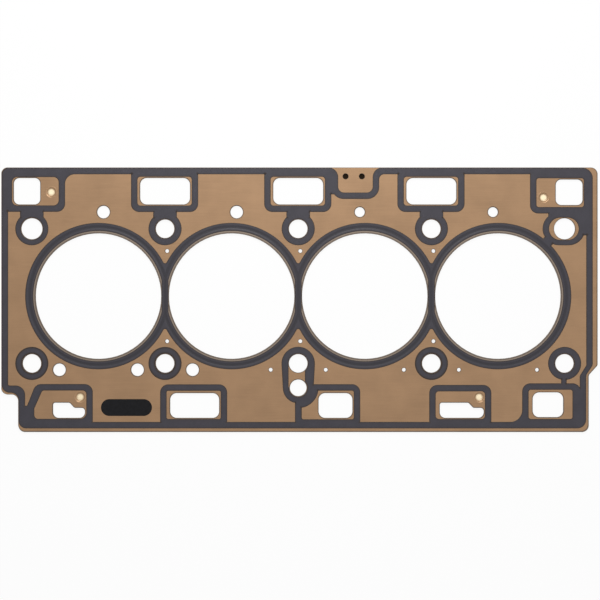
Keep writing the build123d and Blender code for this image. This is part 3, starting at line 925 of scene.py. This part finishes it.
def bolt_ring_tree(inputs):
    """A flat ring of print round a bolt hole, crowned across its width."""
    tree, given, result = size_tree("Crowned print ring", inputs)
    sizes = {"Resolution": given["Steps across"], "Radius": 1.0}
    circle = step(tree, "CurvePrimitiveCircle", None, sizes)
    x, y = point_of(tree)
    crown = calculate(tree, "POWER", calculate(tree, "MAXIMUM", y, 0.0), RING_CROWN)
    across = calculate(tree, "MULTIPLY", x, given["Half width"])
    profile = moved(tree, circle, across, calculate(tree, "MULTIPLY", crown, given["Rise"]))
    ring = turned(tree, given, profile, given["Middle radius"], 1e-7)
    from_middle = calculate(tree, "SUBTRACT", length_of(tree, *point_of(tree)), given["Middle radius"])
    to_edge = calculate(tree, "SUBTRACT", given["Half width"], calculate(tree, "ABSOLUTE", from_middle))
    share = calculate(tree, "MINIMUM", calculate(tree, "DIVIDE", to_edge, given["Crown width"]), 1.0)
    placed(tree, given, result, stored(tree, ring, "thickness", share))
    return tree


def clinch_tree(inputs):
    """A round pit pressed into the sheets: rolled mouth, sloping wall and a flat floor."""
    tree, given, result = size_tree("Clinch pit", inputs)
    line = step(tree, "CurvePrimitiveLine", None, {"Start": (0, 0, 0), "End": (1, 0, 0)})
    line = step(tree, "ResampleCurve", line, {"Count": given["Steps across"]})
    x, _ = point_of(tree)
    shape = add_node(tree, "FloatCurve", {"Value": x})
    curve = shape.mapping.curves[0]
    for point, place in zip((curve.points[0], curve.points[-1]), (PIT_SHAPE[0], PIT_SHAPE[-1])):
        point.location = place
    for share, depth in PIT_SHAPE[1:-1]:
        curve.points.new(share, depth)
    shape.mapping.update()
    across = calculate(tree, "MULTIPLY", calculate(tree, "SUBTRACT", x, 1.0), given["Mouth radius"])
    down = calculate(tree, "MULTIPLY", shape.outputs["Value"], given["Depth"])
    dish = turned(tree, given, moved(tree, line, across, down), given["Mouth radius"], 1e-6)
    # The floor's bright wear and painted highlight fade out between these radii
    bright, coated = (calculate(tree, "MULTIPLY", given["Floor radius"], share) for share in WEAR_AND_HIGHLIGHT_FADE)
    wear_and_highlight = stretch(tree, length_of(tree, *point_of(tree)), bright, coated, 1.0, 0.0)
    dish = stored(tree, dish, "wear_and_highlight", wear_and_highlight)
    lifted = step(tree, "ExtrudeMesh", dish, {"Offset Scale": given["Skin"], "Individual": False})
    back = step(tree, "FlipFaces", dish)
    both = step(tree, "JoinGeometry", lifted)
    tree.links.new(back, both.node.inputs[0])
    placed(tree, given, result, step(tree, "MergeByDistance", both, {"Distance": 1e-7}))
    return tree


def cut_edge_tree(inputs):
    """A thin band that follows the sheared outlines of a sheet."""
    tree, given, result = size_tree("Sheared edge and painted shadow", inputs)
    line = step(tree, "MeshToCurve", given["Geometry"])
    sizes = {"Width": given["Width"], "Height": given["Height"]}
    section = step(tree, "CurvePrimitiveQuadrilateral", None, sizes)
    band = step(tree, "CurveToMesh", line, {"Profile Curve": section})
    real = step(tree, "RealizeInstances", band)
    tree.links.new(step(tree, "SetMaterial", real, {"Material": given["Material"]}), result[0])
    return tree


# Stage


def white_to_camera(tree):
    """1 for the rays that see the backdrop itself, 0 for the light that it gives."""
    path = add_node(tree, "LightPath").outputs
    seen = calculate(tree, "MAXIMUM", path["Is Camera Ray"], path["Is Glossy Ray"])
    return calculate(tree, "MAXIMUM", seen, path["Is Transmission Ray"])


def mix_shaders(tree, factor, first, second):
    """Two shaders mixed by a factor."""
    return add_node(tree, "MixShader", {0: factor, 1: first, 2: second}).outputs[0]


def add_floor(sky):
    """A wide floor under the lowest point: white from above, faintly shaded by the gasket, clear from below.

    What lies within a hair of it is lit as if the floor were sky, so that the underside shows.
    """
    bm = bmesh.new()
    bmesh.ops.create_grid(bm, x_segments=8, y_segments=8, size=2.0)
    for vert in bm.verts:
        vert.co.z = FLOOR_Z - FLOOR_GAP
    mesh = bpy.data.meshes.new("floor")
    bm.to_mesh(mesh)
    bm.free()
    floor = link_mesh("floor", mesh)
    material, tree, shader = new_material("White floor")
    feed(tree, shader, {"Base Color": (0.9, 0.9, 0.9, 1.0), "Roughness": 0.9, "Specular IOR Level": 0.0})
    seen = white_to_camera(tree)
    white = {"Color": (1.0, 1.0, 1.0, 1.0), "Strength": stretch(tree, seen, 0.0, 1.0, sky, 1.0)}
    glow = add_node(tree, "Emission", white).outputs[0]
    path = add_node(tree, "LightPath").outputs
    close = calculate(tree, "LESS_THAN", path["Ray Length"], FLOOR_REACH)
    close = calculate(tree, "MULTIPLY", close, path["Is Diffuse Ray"])
    share = calculate(tree, "MAXIMUM", calculate(tree, "MULTIPLY", seen, FLOOR_GLOW), close)
    lit = mix_shaders(tree, share, shader.outputs[0], glow)
    clear = add_node(tree, "BsdfTransparent").outputs[0]
    behind = add_node(tree, "NewGeometry").outputs["Backfacing"]
    feed(tree, tree.nodes["Material Output"], {"Surface": mix_shaders(tree, behind, lit, clear)})
    assign(floor, material)


def add_world(strength):
    """Even light from all round, white where it is seen."""
    world = bpy.data.worlds.new("Studio")
    bpy.context.scene.world = world
    world.use_nodes = True
    tree = world.node_tree
    level = stretch(tree, white_to_camera(tree), 0.0, 1.0, strength, 1.0)
    feed(tree, tree.nodes["Background"], {"Color": (1.0, 1.0, 1.0, 1.0), "Strength": level})


def add_area(name, place, target, size, power):
    """A soft square light that faces the target."""
    light = bpy.data.lights.new(name, "AREA")
    light.energy = power
    light.size = size
    lamp = bpy.data.objects.new(name, light)
    lamp.location = place
    lamp.rotation_euler = (target - Vector(place)).to_track_quat("-Z", "Y").to_euler()
    bpy.context.scene.collection.objects.link(lamp)


# Pieces


class GASKET_OT_sheets(bpy.types.Operator):
    """Finish the two coated spring steel sheets and the carrier between them"""

    bl_idname = "gasket.sheets"
    bl_label = "Coated sheets"

    def execute(self, context):
        steel = context.scene.gasket_steel
        for name, side in SIDES:
            sheet = coated_steel("Coated steel, " + name, steel.colour, steel.dark_colour, steel.roughness)
            # A greyer band and a painted shadow line round each bore
            coin_bore_rims(sheet, steel.bore_band_colour, steel.edge_and_shade_colour)
            if side < 0:
                # Painted shade on the inner face, for the two small holes
                darken_inside(sheet, steel.hole_shade_colour)
                rub_buttons(sheet, context.scene.gasket_clinch.burnished_and_highlight_colour)
            assign(nodes[name + "_bead_layer"], sheet)
        colours = steel.carrier_colour, steel.carrier_dark_colour
        assign(nodes["carrier_layer"], coated_steel("Carrier steel", *colours, steel.roughness + 0.1))
        return {"FINISHED"}


class GASKET_OT_cut_edges(bpy.types.Operator):
    """Run a dark band along every sheared outline of the two thin sheets: the rolled cut edge and painted
    shadow of the step beside it
    """

    bl_idname = "gasket.cut_edges"
    bl_label = "Cut edges"

    def execute(self, context):
        steel = context.scene.gasket_steel
        for name, side in SIDES:
            source = merged_copy(nodes[name + "_bead_layer"])
            corners, pairs = numbered(outline_edges(source, side))
            source.free()
            middle = SHEET_TOP - SHEET_THICKNESS / 2 if side > 0 else SHEET_THICKNESS / 2
            places = [(x, y, middle) for x, y in corners]
            inputs = {
                "Width": steel.edge_width,
                "Height": SHEET_THICKNESS + 2 * EDGE_PROUD,
                "Material": cut_steel("Sheared edge and painted shadow, " + name, steel.edge_and_shade_colour),
            }
            piece = grown(name + "_sheet_edges_and_shadow", places, cut_edge_tree(inputs), inputs, pairs)
            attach(piece, BODY)
        return {"FINISHED"}


class GASKET_OT_seal_print(bpy.types.Operator):
    """Lay the printed seal on both faces, swelling from thin edges to its full thickness"""

    bl_idname = "gasket.seal_print"
    bl_label = "Seal print"

    def execute(self, context):
        seal = context.scene.gasket_print
        finish = printed_elastomer("Printed elastomer with painted shade", seal.colour, seal.edge_and_shade_colour)
        for name, side in SIDES:
            source = nodes[name + "_seal_coating"]
            shape = PRINT_THICKNESS, seal.crown_width, seal.edge_thickness, seal.point_spacing
            piece = crowned_print(name + "_seal_print", source, side, *shape)
            assign(piece, finish)
            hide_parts(name + "_seal_coating")
            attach(piece, BODY)
        return {"FINISHED"}


class GASKET_OT_bolt_rings(bpy.types.Operator):
    """Print the free rings round the bolt holes that no line joins"""

    bl_idname = "gasket.bolt_rings"
    bl_label = "Bolt rings"

    def execute(self, context):
        seal = context.scene.gasket_print
        finish = printed_elastomer("Printed elastomer with painted shade, rings", seal.colour, seal.edge_and_shade_colour)
        for name, side in SIDES:
            rings = [name + "_bolt_ring_" + str(i) for i in (1, 2, 3)]
            boxes = [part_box(ring) for ring in rings]
            outer = (boxes[0][1].x - boxes[0][0].x) / 2
            inner = seal.ring_inner_radius
            base = boxes[0][0].z if side > 0 else boxes[0][1].z
            places = [((a.x + b.x) / 2, (a.y + b.y) / 2, base) for a, b in boxes]
            inputs = {
                "Middle radius": (inner + outer) / 2,
                "Half width": (outer - inner) / 2,
                "Rise": -side * PRINT_THICKNESS,
                "Crown width": seal.crown_width,
                "Steps round": 96,
                "Steps across": 24,
                "Material": finish,
            }
            piece = grown(name + "_bolt_ring_prints", places, bolt_ring_tree(inputs), inputs)
            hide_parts(*rings)
            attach(piece, BODY)
        return {"FINISHED"}


class GASKET_OT_clinch_joints(bpy.types.Operator):
    """Line the four pressed pits with their rolled mouths and burnished floors, the floors' brightness partly
    a painted highlight
    """

    bl_idname = "gasket.clinch_joints"
    bl_label = "Clinch joints"

    def execute(self, context):
        steel = context.scene.gasket_steel
        clinch = context.scene.gasket_clinch
        finish = burnished_pit("Clinched steel with painted highlight", steel.colour, clinch.burnished_and_highlight_colour)
        inputs = {
            "Mouth radius": clinch.mouth_radius,
            "Floor radius": clinch.floor_radius,
            "Depth": clinch.depth,
            "Skin": clinch.skin,
            "Steps round": 72,
            "Steps across": 48,
            "Material": finish,
        }
        places = [(x * MM, y * MM, SHEET_TOP + clinch.lip) for x, y in CLINCHES]
        piece = grown("clinch_pits", places, clinch_tree(inputs), inputs)
        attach(piece, BODY)
        return {"FINISHED"}


class GASKET_OT_marking_patch(bpy.types.Operator):
    """Print the bare oval patch on the head side"""

    bl_idname = "gasket.marking_patch"
    bl_label = "Marking patch"

    def execute(self, context):
        patch = context.scene.gasket_patch
        low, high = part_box("marking_patch")
        thickness = high.z - low.z
        shape = thickness, patch.soft_edge, PATCH_EDGE * thickness, PATCH_SPACING
        piece = crowned_print("marking_patch_ink", nodes["marking_patch"], 1, *shape)
        assign(piece, patch_ink("Marking ink", patch.colour))
        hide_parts("marking_patch")
        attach(piece, BODY)
        return {"FINISHED"}


class GASKET_OT_stage(bpy.types.Operator):
    """Set the white floor, the soft lights and the camera that looks straight down"""

    bl_idname = "gasket.stage"
    bl_label = "Stage"

    def execute(self, context):
        stage = context.scene.gasket_stage
        scene = context.scene
        scene.view_settings.view_transform = "Standard"
        add_floor(stage.sky)
        add_world(stage.sky)
        target = Vector((stage.centre_x, stage.centre_y, SHEET_TOP))
        add_area("Key light", stage.key_place, target, stage.key_size, stage.key_power)
        add_area("Fill light", stage.fill_place, target, stage.fill_size, stage.fill_power)
        camera = bpy.data.cameras.new("Camera")
        camera.lens = stage.lens
        camera.clip_start = 0.01
        width = PICTURE_WIDTH * stage.pixel_size
        seat = bpy.data.objects.new("Camera", camera)
        seat.location = target + Vector((0, 0, width * camera.lens / camera.sensor_width))
        scene.collection.objects.link(seat)
        scene.camera = seat
        return {"FINISHED"}


# Add-on


class GASKET_PT_build(bpy.types.Panel):
    """The gasket's pieces and their settings"""

    bl_idname = "GASKET_PT_build"
    bl_label = "Cylinder head gasket"
    bl_space_type = "VIEW_3D"
    bl_region_type = "UI"
    bl_category = "Gasket"

    def draw(self, context):
        for operator, group in STEPS:
            box = self.layout.box()
            box.operator("gasket." + operator)
            if group:
                settings = getattr(context.scene, group)
                for key in settings.bl_rna.properties.keys():
                    if key not in ("rna_type", "name"):
                        box.prop(settings, key)


STEPS = (
    ("sheets", "gasket_steel"),
    ("cut_edges", None),
    ("seal_print", "gasket_print"),
    ("bolt_rings", None),
    ("clinch_joints", "gasket_clinch"),
    ("marking_patch", "gasket_patch"),
    ("stage", "gasket_stage"),
)

SETTINGS = {
    "gasket_steel": SteelSettings,
    "gasket_print": PrintSettings,
    "gasket_clinch": ClinchSettings,
    "gasket_patch": PatchSettings,
    "gasket_stage": StageSettings,
}

CLASSES = (
    *SETTINGS.values(),
    GASKET_OT_sheets,
    GASKET_OT_cut_edges,
    GASKET_OT_seal_print,
    GASKET_OT_bolt_rings,
    GASKET_OT_clinch_joints,
    GASKET_OT_marking_patch,
    GASKET_OT_stage,
    GASKET_PT_build,
)


def register():
    """Registers the classes and puts each group of settings on the scene."""
    for cls in CLASSES:
        bpy.utils.register_class(cls)
    for key, group in SETTINGS.items():
        setattr(bpy.types.Scene, key, bpy.props.PointerProperty(type=group))


def unregister():
    """Takes the settings and the classes away again."""
    for key in SETTINGS:
        delattr(bpy.types.Scene, key)
    for cls in reversed(CLASSES):
        bpy.utils.unregister_class(cls)


def main():
    """Dresses the gasket step by step."""
    register()
    for operator, _ in STEPS:
        getattr(bpy.ops.gasket, operator)()


if __name__ == "__main__":
    main()
